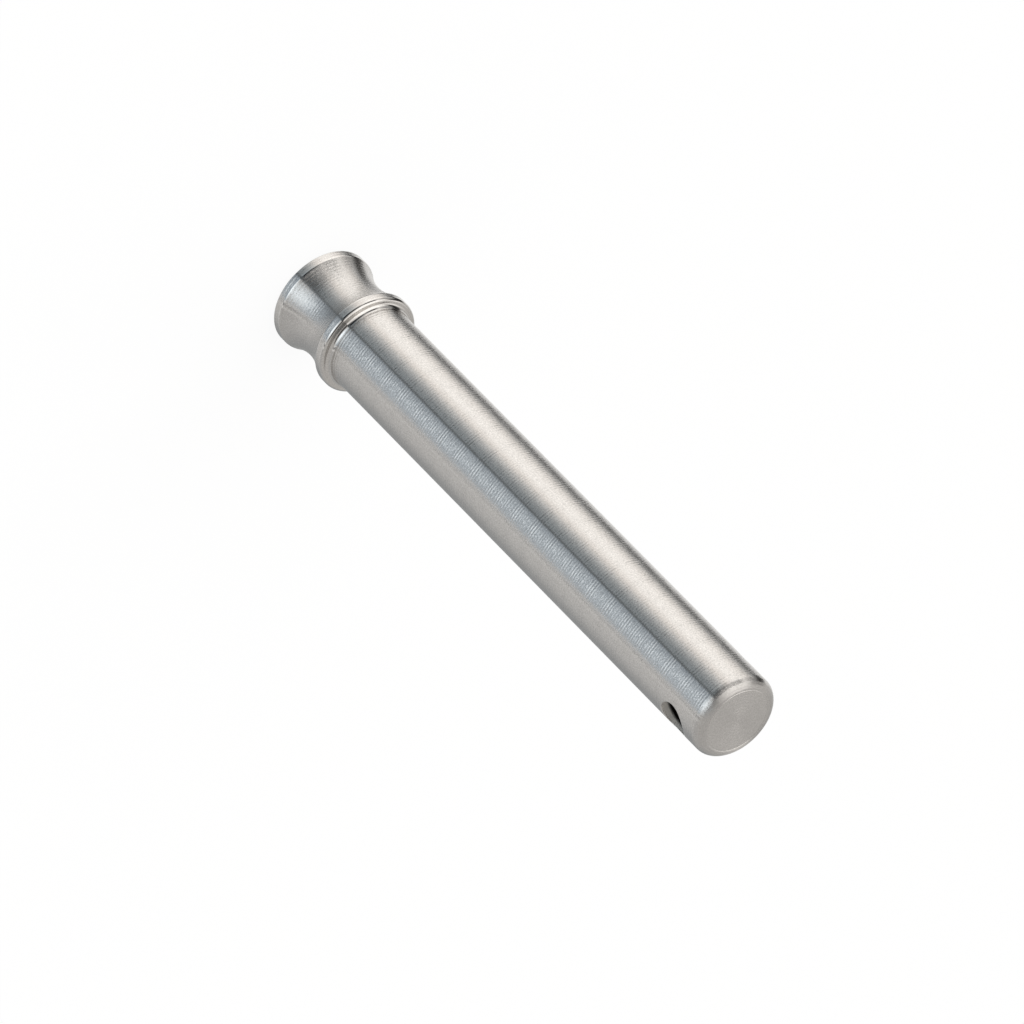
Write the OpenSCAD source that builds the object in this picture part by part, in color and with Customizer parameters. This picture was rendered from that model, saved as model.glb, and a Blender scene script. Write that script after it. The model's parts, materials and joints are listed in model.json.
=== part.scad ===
// Receiver hitch pin: one piece of stainless bar, turned and cross-drilled.
// It stands on its head. +Z runs along the axis to the tip, and the origin is
// the centre of the head's end face. All sizes are in millimetres.

/* [Stock] */
// Diameter of the bar, left as it is on the head rim and the collar
bar_d = 19.05; // [18.6:0.05:25]

/* [Head] */
// Width of the plain rim at the head end
rim_w = 1.7; // [1:0.1:6]
// Radius on the outer edge of the rim
rim_edge_r = 0.3; // [0.1:0.05:0.8]
// Length of the hollow finger grip between the rim and the collar
cove_w = 11.15; // [6:0.05:24]
// Diameter at the waist of the finger grip
waist_d = 16.1; // [12:0.05:17.5]
// Radius on the two lips of the finger grip, at the rim and at the collar
lip_r = 0.7; // [0.1:0.05:1]

/* [Collar] */
// Width of the collar, from the finger grip to the front face
collar_w = 1.75; // [1:0.05:6]
// Radius on the front edge of the collar
collar_edge_r = 0.6; // [0.1:0.05:0.6]
// Fillet between the front face and the shank
root_r = 0.8; // [0.2:0.05:0.95]

/* [Shank] */
// Diameter of the shank, which fills the hole of the receiver tube
shank_d = 15.875; // [12:0.005:16]
// Reach from the front face of the collar to the centre of the clip hole
grip_len = 101.6; // [40:0.1:200]
// Length from the centre of the clip hole to the end of the tip
nose_len = 7.5; // [6:0.1:25]
// Radius on the edge of the tip
tip_r = 1.7; // [0.5:0.1:2.5]

/* [Clip hole] */
// Diameter of the cross hole for a spring clip
clip_hole_d = 6.35; // [3:0.05:9]

/* [Hidden] */
$fn = 128;

bar_r = bar_d / 2;
shank_r = shank_d / 2;

// Stations along the axis, from the head's end face
cove_z = rim_w;
collar_z = cove_z + cove_w;
face_z = collar_z + collar_w;
hole_z = face_z + grip_len;
tip_z = hole_z + nose_len;

// The grip is one arc: its radius follows from its length and its depth
cove_depth = (bar_d - waist_d) / 2;
cove_r = (pow(cove_w / 2, 2) + pow(cove_depth, 2)) / (2 * cove_depth);
cove_centre = [waist_d / 2 + cove_r, cove_z + cove_w / 2];

// A lip's round touches the bar's surface and the arc of the grip, which sets
// how far its centre lies from the middle of the grip
lip_rise = sqrt(pow(cove_r + lip_r, 2) - pow(cove_centre[0] - bar_r + lip_r, 2));

// Half of a plain turned stretch, from the axis out
module turned(radius, from_z, to_z) {
    translate([0, from_z])
        square([radius, to_z - from_z]);
}

// What a form tool takes off an outer corner at [radius, z] to leave an edge
// of radius r. side is 1 for an edge that faces the tip and -1 for the head.
module edge_cut(radius, z, r, side) {
    translate([radius - r, z - side * r])
        difference() {
            translate([0, side > 0 ? 0 : -2 * r])
                square(2 * r);
            circle(r);
        }
}

// What the tool takes off a lip of the grip, as an edge cut between a line and
// an arc. side is 1 for the lip at the collar and -1 for the one at the rim.
module lip_cut(side) {
    centre = [bar_r - lip_r, cove_centre[1] + side * lip_rise];
    to_cove = cove_centre - centre;
    difference() {
        polygon([
            centre,
            [bar_r, centre[1]],
            [bar_r + lip_r, cove_centre[1] + side * cove_w / 2],
            centre + to_cove * lip_r / norm(to_cove)
        ]);
        translate(centre)
            circle(lip_r);
    }
}

// Fillet of radius r that runs from a face at z down to a shaft
module root_fillet(shaft_r, z, r) {
    difference() {
        turned(shaft_r + r, collar_z, z + r);
        translate([shaft_r + r, z + r])
            circle(r);
    }
}

// Half section of the turned pin, with the radius along x and the axis along y
module half_section() {
    difference() {
        union() {
            turned(bar_r, 0, face_z);
            turned(shank_r, collar_z, tip_z);
        }
        edge_cut(bar_r, 0, rim_edge_r, -1);
        translate(cove_centre)
            circle(cove_r);
        for (side = [-1, 1])
            lip_cut(side);
        edge_cut(bar_r, face_z, collar_edge_r, 1);
        edge_cut(shank_r, tip_z, tip_r, 1);
    }
    root_fillet(shank_r, face_z, root_r);
}

// Cross hole, drilled right through the shank along X
module clip_hole() {
    translate([0, 0, hole_z])
        rotate([0, 90, 0])
            cylinder(h = bar_d, d = clip_hole_d, center = true);
}

module hitch_pin() {
    color("#b6b3ae")
        difference() {
            rotate_extrude()
                half_section();
            clip_hole();
        }
}

hitch_pin();
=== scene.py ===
import json
import math

import bpy
from mathutils import Matrix, Vector


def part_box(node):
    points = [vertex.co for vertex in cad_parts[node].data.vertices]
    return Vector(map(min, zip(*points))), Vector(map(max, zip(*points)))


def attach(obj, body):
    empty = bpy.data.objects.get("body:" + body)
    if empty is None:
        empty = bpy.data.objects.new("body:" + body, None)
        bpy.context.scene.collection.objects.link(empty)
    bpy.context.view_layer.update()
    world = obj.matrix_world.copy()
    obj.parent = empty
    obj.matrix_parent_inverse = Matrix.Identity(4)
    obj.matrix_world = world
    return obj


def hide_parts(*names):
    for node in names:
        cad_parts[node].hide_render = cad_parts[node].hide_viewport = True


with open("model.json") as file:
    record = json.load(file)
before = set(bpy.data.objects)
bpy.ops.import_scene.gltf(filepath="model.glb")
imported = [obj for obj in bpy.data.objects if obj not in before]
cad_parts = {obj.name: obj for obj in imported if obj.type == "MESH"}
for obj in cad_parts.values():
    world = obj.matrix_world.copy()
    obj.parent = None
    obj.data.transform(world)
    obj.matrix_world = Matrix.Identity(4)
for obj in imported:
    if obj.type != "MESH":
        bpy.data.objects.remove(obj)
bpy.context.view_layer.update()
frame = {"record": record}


# Hitch pin: one length of round stainless bar, turned in one go to its rim, hollow finger
# grip, collar, shank and rounded tip, and drilled across near the tip.
# The turned section is drawn here finer than in the solid, so that the polish runs true.
MM = 0.001
mounts = {mount["name"]: mount for mount in frame["record"]["mounts"]}
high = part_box("hitch_pin")[1]
bar_r = high.x
tip_z = high.z
shank_r = mounts["shank"]["dims"]["r_mm"] * MM
face_z = mounts["collar_face"]["pos_m"][2]
hole_r = mounts["clip_hole"]["dims"]["r_mm"] * MM
hole_z = mounts["clip_hole"]["pos_m"][2]
rim_w = 1.7 * MM
rim_edge_r = 0.3 * MM
collar_w = 1.75 * MM
collar_edge_r = 0.6 * MM
waist_r = 8.05 * MM
lip_r = 0.7 * MM
root_r = 0.8 * MM
tip_r = 1.7 * MM
hole_edge_r = 0.2 * MM
# Facing off the tip left a fine line round its flat, where the round begins.
line_w = 0.40 * MM
line_depth = 0.05 * MM
line_steps = 8

# The grip is one hollow arc. Each of its lips is a small round that touches the arc and the bar.
grip_half = (face_z - collar_w - rim_w) / 2
grip_z = rim_w + grip_half
grip_depth = bar_r - waist_r
grip_r = (grip_half ** 2 + grip_depth ** 2) / (2 * grip_depth)
grip_centre_r = waist_r + grip_r
lip_rise = math.sqrt((grip_r + lip_r) ** 2 - (grip_centre_r - bar_r + lip_r) ** 2)
lip_angle = math.degrees(math.asin(lip_rise / (grip_r + lip_r)))


# A station of the turned section is (radius, height, lean of the surface towards the tip in
# degrees, roughness). The form tool leaves the small rounds bright. The grip is duller, and dullest
# is the nose, the inner half of the tip's round.
plain_rough = 0.24
grip_rough = 0.27
round_rough = 0.09
tip_rough = 0.25
nose_rough = 0.34
nose_lean = 45
face_rough = 0.17


def straight(start, end, lean, steps, rough=plain_rough):
    shares = [step / steps for step in range(steps)]
    return [
        (start[0] + (end[0] - start[0]) * share, start[1] + (end[1] - start[1]) * share, lean, rough)
        for share in shares
    ]


def turned_arc(centre, radius, lean_from, lean_to, steps, rough=round_rough):
    leans = [lean_from + (lean_to - lean_from) * step / steps for step in range(steps)]
    return [
        (
            centre[0] + radius * math.cos(math.radians(lean)),
            centre[1] + radius * math.sin(math.radians(lean)),
            lean,
            rough,
        )
        for lean in leans
    ]


# The mouths of the cross hole are cut out of a square of the shank's own grid of facets.
facets_round = 240
patch_half = 20
facet = 2 * math.pi * shank_r / facets_round
patch_low = hole_z - patch_half * facet
patch_high = hole_z + patch_half * facet

section = straight((0, 0), (bar_r - rim_edge_r, 0), -90, steps=12)
section += turned_arc((bar_r - rim_edge_r, rim_edge_r), rim_edge_r, -90, 0, steps=8)
section += straight((bar_r, rim_edge_r), (bar_r, grip_z - lip_rise), 0, steps=6)
section += turned_arc((bar_r - lip_r, grip_z - lip_rise), lip_r, 0, lip_angle, steps=8)
section += turned_arc(
    (grip_centre_r, grip_z), -grip_r, lip_angle, -lip_angle, steps=48, rough=grip_rough,
)
section += turned_arc((bar_r - lip_r, grip_z + lip_rise), lip_r, -lip_angle, 0, steps=8)
section += straight((bar_r, grip_z + lip_rise), (bar_r, face_z - collar_edge_r), 0, steps=6)
section += turned_arc(
    (bar_r - collar_edge_r, face_z - collar_edge_r), collar_edge_r, 0, 90, steps=12,
)
section += straight((bar_r - collar_edge_r, face_z), (shank_r + root_r, face_z), 90, steps=3)
section += turned_arc((shank_r + root_r, face_z + root_r), -root_r, 90, 0, steps=16)
section += straight((shank_r, face_z + root_r), (shank_r, patch_low), 0, steps=24)
patch_row = len(section)
section += straight((shank_r, patch_low), (shank_r, patch_high), 0, steps=2 * patch_half)
section += straight((shank_r, patch_high), (shank_r, tip_z - tip_r), 0, steps=8)
flat_r = shank_r - tip_r
tip_centre = (flat_r, tip_z - tip_r)
section += turned_arc(tip_centre, tip_r, 0, nose_lean, steps=12, rough=tip_rough)
section += turned_arc(tip_centre, tip_r, nose_lean, 90, steps=12, rough=nose_rough)
for step in range(line_steps):
    swing = math.tau * step / line_steps
    sunk = line_depth * (1 - math.cos(swing)) / 2
    slope = math.degrees(math.atan(math.pi * line_depth / line_w * math.sin(swing)))
    section.append((flat_r - line_w * step / line_steps, tip_z - sunk, 90 + slope, tip_rough))
section += straight((flat_r - line_w, tip_z), (0, tip_z), 90, steps=16, rough=face_rough)
section += [(0, tip_z, 90, face_rough)]

# Distance along the section in millimetres, which the turning lines follow.
runs = [0.0]
for before, after in zip(section, section[1:]):
    runs.append(runs[-1] + math.dist(before[:2], after[:2]) / MM)

points = []
normals = []
run_of = []
rough_of = []
faces = []
wall_faces = []


def add_point(place, normal, run, rough):
    points.append(place)
    normals.append(Vector(normal).normalized())
    run_of.append(run)
    rough_of.append(rough)
    return len(points) - 1


def on_mouth_patch(row, column, margin):
    across = (column + facets_round // 4) % (facets_round // 2) - facets_round // 4
    inside_rows = patch_row + margin <= row <= patch_row + 2 * patch_half - margin
    return inside_rows and abs(across) <= patch_half - margin


grid = {}
for row, (radius, height, lean, rough) in enumerate(section):
    rise = math.sin(math.radians(lean))
    out = math.cos(math.radians(lean))
    for column in range(facets_round if radius > 0 else 1):
        if on_mouth_patch(row, column, 1):
            continue
        turn = 2 * math.pi * column / facets_round
        across = math.cos(turn)
        along = math.sin(turn)
        place = (radius * across, radius * along, height)
        grid[row, column] = add_point(place, (out * across, out * along, rise), runs[row], rough)

last_row = len(section) - 1
for row in range(last_row):
    for column in range(facets_round):
        beside = (column + 1) % facets_round
        corners = [(row, column), (row, beside), (row + 1, beside), (row + 1, column)]
        if row == 0:
            corners = [(0, 0), (1, beside), (1, column)]
        elif row == last_row - 1:
            corners = [(row, column), (row, beside), (last_row, 0)]
        elif all(on_mouth_patch(*corner, 0) for corner in corners):
            continue
        faces.append([grid[corner] for corner in corners])

# Each mouth: rings of facets close in from the square to the hole, turn over its broken edge
# and go in to the wall. The loop starts level with the hole's centre and runs round from there.
loop = [(patch_half, step) for step in range(patch_half)]
loop += [(-step, patch_half) for step in range(-patch_half, patch_half)]
loop += [(-patch_half, -step) for step in range(-patch_half, patch_half)]
loop += [(step, -patch_half) for step in range(-patch_half, patch_half)]
loop += [(patch_half, step) for step in range(-patch_half, 0)]
mouth_rings = 8
edge_steps = 5
wall_rings = []
for side in (1, -1):
    start_column = 0 if side > 0 else facets_round // 2
    rings = [[
        grid[patch_row + patch_half + step_z, (start_column + step_x) % facets_round]
        for step_x, step_z in loop
    ]]
    for ring in range(1, mouth_rings + edge_steps + 1):
        indices = []
        for step_x, step_z in loop:
            angle = math.atan2(step_z, step_x)
            bore_y = hole_r * math.cos(angle)
            bore_z = hole_r * math.sin(angle)
            lip_y = (hole_r + hole_edge_r) * math.cos(angle)
            lip_z = (hole_r + hole_edge_r) * math.sin(angle)
            lip_turn = math.asin(lip_y / shank_r)
            if ring <= mouth_rings:
                share = ring / mouth_rings
                turn = step_x * facet / shank_r * (1 - share) + lip_turn * share
                place = Vector((
                    shank_r * math.cos(turn),
                    shank_r * math.sin(turn),
                    step_z * facet * (1 - share) + lip_z * share,
                ))
                normal = Vector((math.cos(turn), math.sin(turn), 0))
                rough = plain_rough
            else:
                share = (ring - mouth_rings) / edge_steps
                lip = Vector((shank_r * math.cos(lip_turn), lip_y, lip_z))
                corner = Vector((math.sqrt(shank_r ** 2 - bore_y ** 2), bore_y, bore_z))
                inner = corner - Vector((hole_edge_r, 0, 0))
                place = lip.lerp(corner, share).lerp(corner.lerp(inner, share), share)
                outer_normal = Vector((math.cos(lip_turn), math.sin(lip_turn), 0))
                wall_normal = Vector((0, -math.cos(angle), -math.sin(angle)))
                normal = outer_normal.lerp(wall_normal, share)
                rough = round_rough
            place = (side * place.x, side * place.y, hole_z + place.z)
            normal = (side * normal.x, side * normal.y, normal.z)
            run = runs[patch_row] + (place[2] - patch_low) / MM
            indices.append(add_point(place, normal, run, rough))
        rings.append(indices)
    for outer, inner in zip(rings, rings[1:]):
        for step in range(len(loop)):
            beside = (step + 1) % len(loop)
            faces.append([outer[step], outer[beside], inner[beside], inner[step]])
    wall_rings.append(rings[-1])

# The wall of the hole runs straight through from one mouth to the other.
wall_steps = 12
near_ring, far_ring = wall_rings
count = len(loop)
wall = [near_ring]
for step in range(1, wall_steps):
    indices = []
    for index in range(count):
        near = Vector(points[near_ring[index]])
        far = Vector(points[far_ring[(count // 2 - index) % count]])
        at = near.lerp(far, step / wall_steps)
        indices.append(add_point(at, (0, -at.y, hole_z - at.z), runs[patch_row], plain_rough))
    wall.append(indices)
wall.append([far_ring[(count // 2 - index) % count] for index in range(count)])
for outer, inner in zip(wall, wall[1:]):
    for step in range(count):
        beside = (step + 1) % count
        wall_faces.append([outer[step], outer[beside], inner[beside], inner[step]])

mesh = bpy.data.meshes.new("turned_pin")
mesh.from_pydata([tuple(point) for point in points], [], faces + wall_faces)
mesh.shade_smooth()
mesh.normals_split_custom_set_from_vertices(normals)
mesh.attributes.new("run", "FLOAT", "POINT").data.foreach_set("value", run_of)
mesh.attributes.new("rough", "FLOAT", "POINT").data.foreach_set("value", rough_of)
pin = bpy.data.objects.new("turned_pin", mesh)
bpy.context.scene.collection.objects.link(pin)


def linear(colour):
    channels = [int(colour[place:place + 2], 16) / 255 for place in (1, 3, 5)]
    parts = [
        part / 12.92 if part <= 0.04045 else ((part + 0.055) / 1.055) ** 2.4
        for part in channels
    ]
    return parts + [1]


def add_node(tree, kind, inputs=None, **settings):
    node = tree.nodes.new(kind)
    for name, value in settings.items():
        setattr(node, name, value)
    for socket, value in (inputs or {}).items():
        if isinstance(value, bpy.types.NodeSocket):
            tree.links.new(value, node.inputs[socket])
        else:
            node.inputs[socket].default_value = value
    return node


# Turned stainless steel, satin polished. The tool marks run round the axis, so a reflection
# stays sharp round the pin and is drawn out along it, and the small rounds come out brighter.
steel = bpy.data.materials.new("turned_stainless_steel")
steel.use_nodes = True
tree = steel.node_tree
tree.nodes.clear()
# The real feed marks are about 0.08 mm apart, too fine for this view, so they are drawn coarser: sets
# of even grooves round the axis, each fading in and out in short dashes. Flecks of duller and
# brighter steel lie between them. Pitches, lengths and widths are in millimetres, and the shift
# keeps the dashes of one set from lying in line with those of the next.
mark_pitches = (0.66, 0.59, 0.52)
mark_depth = 0.010 * MM
dash_length = 0.28
dash_width = 0.40
dash_starts = 0.42
dash_full = 0.58
set_shift = 100
fleck_width = 0.22
run = add_node(tree, "ShaderNodeAttribute", attribute_name="run").outputs["Fac"]
rough = add_node(tree, "ShaderNodeAttribute", attribute_name="rough").outputs["Fac"]
place = add_node(tree, "ShaderNodeTexCoord").outputs["Object"]
in_dashes = add_node(
    tree, "ShaderNodeVectorMath", {0: place, 1: (1 / MM / dash_length,) * 3}, operation="MULTIPLY",
).outputs[0]
split = add_node(tree, "ShaderNodeSeparateXYZ", {0: in_dashes}).outputs
mark_share = add_node(
    tree, "ShaderNodeMapRange", {"Value": rough, "From Min": round_rough, "From Max": plain_rough},
).outputs[0]
relief = add_node(tree, "ShaderNodeNewGeometry").outputs["Normal"]
for pitch in mark_pitches:
    swing = add_node(
        tree, "ShaderNodeMath", {0: run, 1: math.tau / pitch}, operation="MULTIPLY",
    ).outputs[0]
    marks = add_node(tree, "ShaderNodeMath", {0: swing}, operation="SINE").outputs[0]
    across = add_node(
        tree, "ShaderNodeMath", {0: run, 1: 1 / dash_width, 2: set_shift * pitch},
        operation="MULTIPLY_ADD",
    ).outputs[0]
    spot = add_node(tree, "ShaderNodeCombineXYZ", {0: split[0], 1: split[1], 2: across}).outputs[0]
    dashes = add_node(
        tree, "ShaderNodeTexNoise", {"Vector": spot, "Scale": 1.0, "Detail": 1.0},
    ).outputs["Fac"]
    strength = add_node(tree, "ShaderNodeMapRange", {
        "Value": dashes,
        "From Min": dash_starts,
        "From Max": dash_full,
        "To Max": mark_share,
    }).outputs[0]
    relief = add_node(tree, "ShaderNodeBump", {
        "Height": marks,
        "Strength": strength,
        "Distance": mark_depth,
        "Normal": relief,
    }).outputs[0]
across = add_node(tree, "ShaderNodeMath", {0: run, 1: fleck_width}, operation="DIVIDE").outputs[0]
spot = add_node(tree, "ShaderNodeCombineXYZ", {0: split[0], 1: split[1], 2: across}).outputs[0]
flecks = add_node(
    tree, "ShaderNodeTexNoise", {"Vector": spot, "Scale": 1.0, "Detail": 1.0},
).outputs["Fac"]
tint = add_node(
    tree, "ShaderNodeMix", {"Factor": flecks, 6: linear("#B6B3AF"), 7: linear("#DEDBD7")},
    data_type="RGBA",
).outputs[2]
round_axis = add_node(tree, "ShaderNodeTangent", direction_type="RADIAL", axis="Z").outputs[0]
shader = add_node(tree, "ShaderNodeBsdfPrincipled", {
    "Base Color": tint,
    "Metallic": 1.0,
    "Roughness": rough,
    "Anisotropic": 1.0,
    "Anisotropic Rotation": 0.25,
    "Tangent": round_axis,
    "Normal": relief,
})
add_node(tree, "ShaderNodeOutputMaterial", {"Surface": shader.outputs[0]})
mesh.materials.append(steel)

# The wall of the hole is as the drill left it, and duller. Its colour holds painted light near the
# mouths and painted shade farther in. The drill's scores run round it, their sizes in millimetres.
painted_light_depth = 1.2 * MM
painted_shade_depth = 1.8 * MM
score_width = 0.3
score_length = 2.0
score_depth = 0.02 * MM
drilled = bpy.data.materials.new("drilled_stainless_steel")
drilled.use_nodes = True
tree = drilled.node_tree
tree.nodes.clear()
place = add_node(tree, "ShaderNodeTexCoord").outputs["Object"]
along_hole = add_node(tree, "ShaderNodeSeparateXYZ", {0: place}).outputs[0]
from_middle = add_node(tree, "ShaderNodeMath", {0: along_hole}, operation="ABSOLUTE").outputs[0]
# Painted light and shade: the wall's colour runs from bright near the mouths to dark deeper in the
# hole, where it lies in shade.
painted_light_share = add_node(tree, "ShaderNodeMapRange", {
    "Value": from_middle,
    "From Min": shank_r - painted_shade_depth,
    "From Max": shank_r - painted_light_depth,
}, interpolation_type="SMOOTHSTEP").outputs[0]
tint = add_node(
    tree, "ShaderNodeMix", {"Factor": painted_light_share, 6: linear("#1E1C1A"), 7: linear("#F0EDE8")},
    data_type="RGBA",
).outputs[2]
in_scores = (1 / MM / score_width, 1 / MM / score_length, 1 / MM / score_length)
stretched = add_node(
    tree, "ShaderNodeVectorMath", {0: place, 1: in_scores}, operation="MULTIPLY",
).outputs[0]
scores = add_node(
    tree, "ShaderNodeTexNoise", {"Vector": stretched, "Scale": 1.0, "Detail": 2.0},
).outputs["Fac"]
relief = add_node(
    tree, "ShaderNodeBump", {"Height": scores, "Strength": 0.6, "Distance": score_depth},
).outputs[0]
roughness = add_node(
    tree, "ShaderNodeMapRange", {"Value": scores, "To Min": 0.8, "To Max": 1.0},
).outputs[0]
shader = add_node(tree, "ShaderNodeBsdfPrincipled", {
    "Base Color": tint,
    "Metallic": 1.0,
    "Roughness": roughness,
    "Normal": relief,
})
add_node(tree, "ShaderNodeOutputMaterial", {"Surface": shader.outputs[0]})
mesh.materials.append(drilled)
for face in mesh.polygons[len(faces):]:
    face.material_index = 1

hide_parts("hitch_pin")
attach(pin, "root")


# Camera: a long lens from well back, turned so that the pin lies across the picture with its
# head at the upper left. It aims at a point near the middle of the pin's axis.
view_turn = math.radians(-71.5)
view_height = math.radians(37.5)
axis_slope = math.radians(45.482)
distance = 2.140
middle = Vector((0, 0, 0.061))
aim_left = 1.76 * MM
aim_down = 1.60 * MM
back = Vector((
    math.cos(view_height) * math.cos(view_turn),
    math.cos(view_height) * math.sin(view_turn),
    math.sin(view_height),
))
up_axis = Vector((0, 0, 1))
towards_tip = (up_axis - math.sin(view_height) * back).normalized()
sideways = up_axis.cross(back).normalized()
right = math.cos(axis_slope) * towards_tip - math.sin(axis_slope) * sideways
top = -math.sin(axis_slope) * towards_tip - math.cos(axis_slope) * sideways
aim = middle - right * aim_left - top * aim_down
camera_data = bpy.data.cameras.new("camera")
camera_data.sensor_width = 36
camera_data.lens = 454.8
camera = bpy.data.objects.new("camera", camera_data)
facing = Matrix((right, top, back)).transposed().to_4x4()
camera.matrix_world = Matrix.Translation(aim + back * distance) @ facing
bpy.context.scene.collection.objects.link(camera)
bpy.context.scene.camera = camera


# Studio: the pin stands on a wide sheet of white paper, under one soft lamp that whitens the paper.
# Round about is a white surround, in which stand the lamps, papers and black cards that the
# polished steel mirrors.
floor_mesh = bpy.data.meshes.new("paper_floor")
floor_r = 4.0
floor_sides = 96
floor_turns = [math.tau * step / floor_sides for step in range(floor_sides)]
floor_points = [(floor_r * math.cos(turn), floor_r * math.sin(turn), 0) for turn in floor_turns]
floor_mesh.from_pydata(floor_points, [], [list(range(floor_sides))])
floor = bpy.data.objects.new("paper_floor", floor_mesh)
bpy.context.scene.collection.objects.link(floor)
floor.visible_glossy = False
# Matt white paper, so brightly lit that all but a tenth of what the camera sees of it is plain white.
white_share = 0.9
paper = bpy.data.materials.new("white_paper")
paper.use_nodes = True
tree = paper.node_tree
tree.nodes.clear()
light_path = add_node(tree, "ShaderNodeLightPath")
lit = add_node(tree, "ShaderNodeBsdfDiffuse", {"Color": linear("#FCFCFC")})
white = add_node(tree, "ShaderNodeEmission", {"Color": linear("#FFFFFF"), "Strength": 1.0})
seen_share = add_node(
    tree, "ShaderNodeMath", {0: light_path.outputs["Is Camera Ray"], 1: white_share},
    operation="MULTIPLY",
).outputs[0]
mixed = add_node(
    tree, "ShaderNodeMixShader", {0: seen_share, 1: lit.outputs[0], 2: white.outputs[0]},
)
add_node(tree, "ShaderNodeOutputMaterial", {"Surface": mixed.outputs[0]})
floor_mesh.materials.append(paper)

# The lamp hangs straight above. The steel doesn't mirror it.
lamp_data = bpy.data.lights.new("overhead_lamp", "AREA")
lamp_data.shape = "DISK"
lamp_data.size = 2.0
lamp_data.energy = 12.0
lamp = bpy.data.objects.new("overhead_lamp", lamp_data)
lamp.location = (0, 0, 2.0)
lamp.visible_glossy = False
bpy.context.scene.collection.objects.link(lamp)

# The steel mirrors the same white that the camera sees, with these panels standing in it. It doesn't
# mirror the paper under the pin, so the low panels show too. Each panel is (turn from the camera's
# side, width, softness of its sides, height above the horizon, span, softness of its ends, colour,
# power), in degrees. Later panels cover earlier ones.
panels = {
    "ceiling": (0, 400, 2, 70, 130, 20, "#FFFDFB", 0.62),
    "grey paper": (95, 90, 40, -60, 140, 40, "#FFFFFF", 0.79),
    "dim paper": (155, 80, 60, -60, 140, 40, "#F6FBFF", 0.40),
    "shade over the grey paper": (95, 90, 40, 2, 44, 30, "#FFFFFF", 0.56),
    "foot of the cool lamp": (28, 60, 2, -60, 76, 6, "#E4F2FF", 0.28),
    "glow at its foot": (30, 57, 2, -30, 44, 30, "#DAEDFF", 0.51),
    "cool lamp": (27.5, 31, 31, 3, 56, 24, "#EFF8FF", 1.85),
    "dark above the cool lamp": (28, 60, 2, 54, 44, 20, "#FFFAF6", 0.10),
    "dark gap": (-57.8, 121, 2, -60, 160, 20, "#E9F6FF", 0.50),
    "black card": (-23.5, 53, 2, 15, 68, 14, "#DCEBFF", 0.04),
    "main lamp at the horizon": (-79, 60, 36, 4, 50, 20, "#FFFDFB", 1.2),
    "end of the black card": (-62, 28, 10, 19, 34, 14, "#DCEBFF", 0.04),
    "warm paper": (-70, 60, 16, -38, 44, 20, "#FFE6D2", 0.66),
    "main lamp": (-70, 66, 58, -50, 90, 40, "#FFFDFB", 1.66),
    "gap under the pin": (-40, 90, 40, -86, 46, 20, "#F6FBFF", 0.36),
    "upper lamp": (-86, 128, 60, 58, 50, 24, "#FFFDFB", 1.8),
    "lamp above the black card": (-24, 52, 2, 78, 36, 16, "#FFFDFB", 1.2),
    "shade by the dark strip": (-102, 36, 30, 6, 40, 24, "#FFFFFF", 0.36),
    "dark strip": (-122, 21, 12, -30, 160, 30, "#FFFFFF", 0.04),
    "edge lamp": (-165, 52, 14, -70, 110, 30, "#FFFFFF", 1.1),
    "dark edge of the gap": (0.0, 5, 2, -50, 140, 20, "#E9F6FF", 0.18),
    "bright edge of the cool lamp": (54.8, 3.4, 2, -40, 110, 10, "#FFFFFF", 1.02),
    "bright edge of the grey paper": (65, 4, 2, -40, 110, 10, "#FFFFFF", 0.92),
    "dark edge of the cool lamp": (59.5, 3, 2, -40, 110, 10, "#FFFFFF", 0.28),
}
world = bpy.data.worlds.new("studio")
bpy.context.scene.world = world
world.use_nodes = True
tree = world.node_tree
tree.nodes.clear()
way = add_node(tree, "ShaderNodeTexCoord").outputs["Generated"]
split = add_node(tree, "ShaderNodeSeparateXYZ", {0: way}).outputs
turn = add_node(tree, "ShaderNodeMath", {0: split[1], 1: split[0]}, operation="ARCTAN2").outputs[0]
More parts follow.
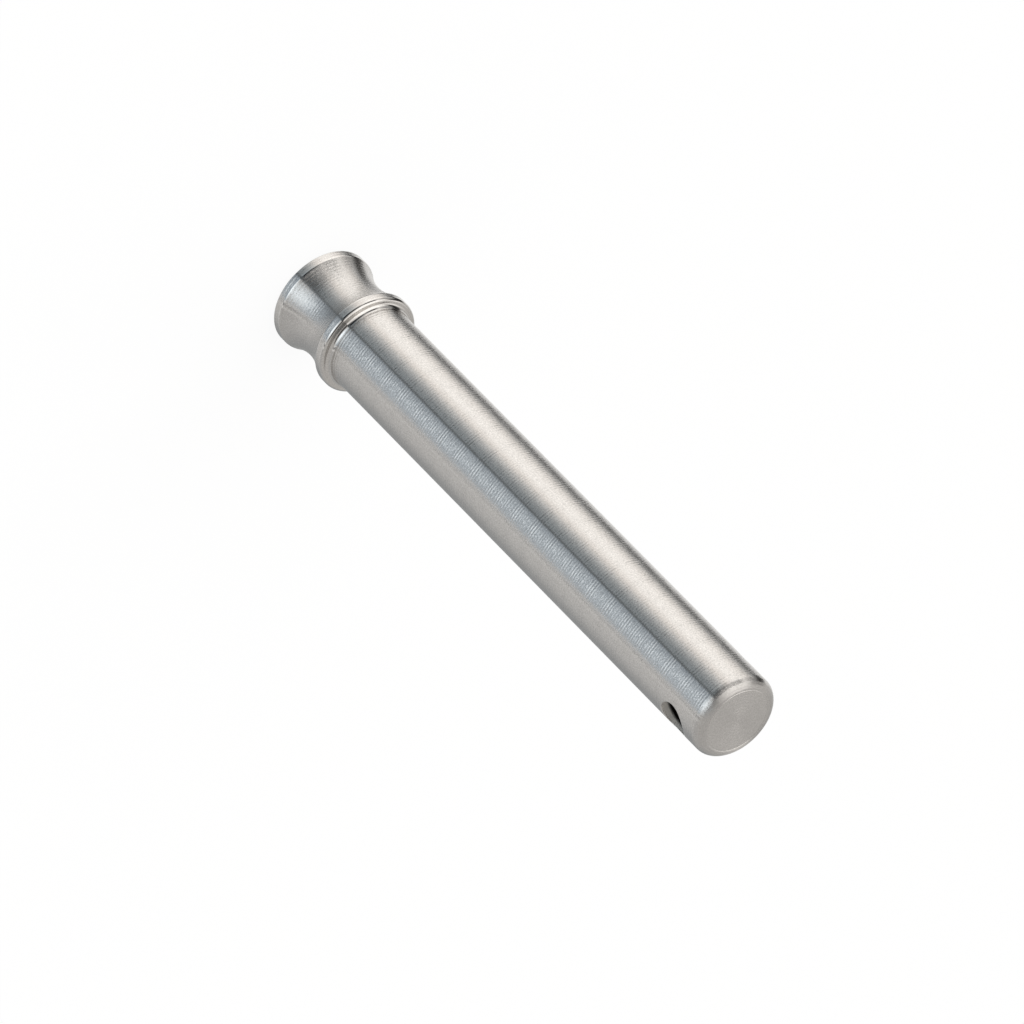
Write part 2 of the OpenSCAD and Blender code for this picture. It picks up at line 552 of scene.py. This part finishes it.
height = add_node(tree, "ShaderNodeMath", {0: split[2]}, operation="ARCSINE").outputs[0]
light_path = add_node(tree, "ShaderNodeLightPath").outputs
mirrored = add_node(
    tree, "ShaderNodeMath",
    {0: light_path["Is Glossy Ray"], 1: light_path["Is Transmission Ray"]},
    operation="MAXIMUM",
).outputs[0]
light = add_node(
    tree, "ShaderNodeMix", {"Factor": mirrored, 4: linear("#EDEDED")[:3], 5: linear("#FFFFFF")[:3]},
    data_type="VECTOR",
).outputs[1]
for panel_turn, wide, soft, panel_height, tall, fade, colour, power in panels.values():
    spans = []
    sides = (
        (turn, view_turn + math.radians(panel_turn), wide, soft),
        (height, math.radians(panel_height), tall, fade),
    )
    for angle, centre, size, edge in sides:
        offset = add_node(
            tree, "ShaderNodeMath", {0: angle, 1: centre}, operation="SUBTRACT",
        ).outputs[0]
        wrapped = add_node(
            tree, "ShaderNodeMath", {0: offset, 1: math.pi, 2: -math.pi}, operation="WRAP",
        ).outputs[0]
        apart = add_node(tree, "ShaderNodeMath", {0: wrapped}, operation="ABSOLUTE").outputs[0]
        spans.append(add_node(tree, "ShaderNodeMapRange", {
            "Value": apart,
            "From Min": math.radians((size + edge) / 2),
            "From Max": math.radians((size - edge) / 2),
        }, interpolation_type="SMOOTHSTEP").outputs[0])
    share = add_node(
        tree, "ShaderNodeMath", {0: spans[0], 1: spans[1]}, operation="MULTIPLY",
    ).outputs[0]
    glow = [part * power for part in linear(colour)]
    light = add_node(
        tree, "ShaderNodeMix", {"Factor": share, 4: light, 5: glow[:3]}, data_type="VECTOR",
    ).outputs[1]
surround = add_node(tree, "ShaderNodeBackground", {"Color": light, "Strength": 1.0})
plain_white = add_node(tree, "ShaderNodeBackground", {"Color": linear("#FFFFFF"), "Strength": 1.0})
seen = add_node(
    tree, "ShaderNodeMixShader",
    {0: light_path["Is Camera Ray"], 1: surround.outputs[0], 2: plain_white.outputs[0]},
)
add_node(tree, "ShaderNodeOutputWorld", {"Surface": seen.outputs[0]})

bpy.context.scene.view_settings.view_transform = "Standard"
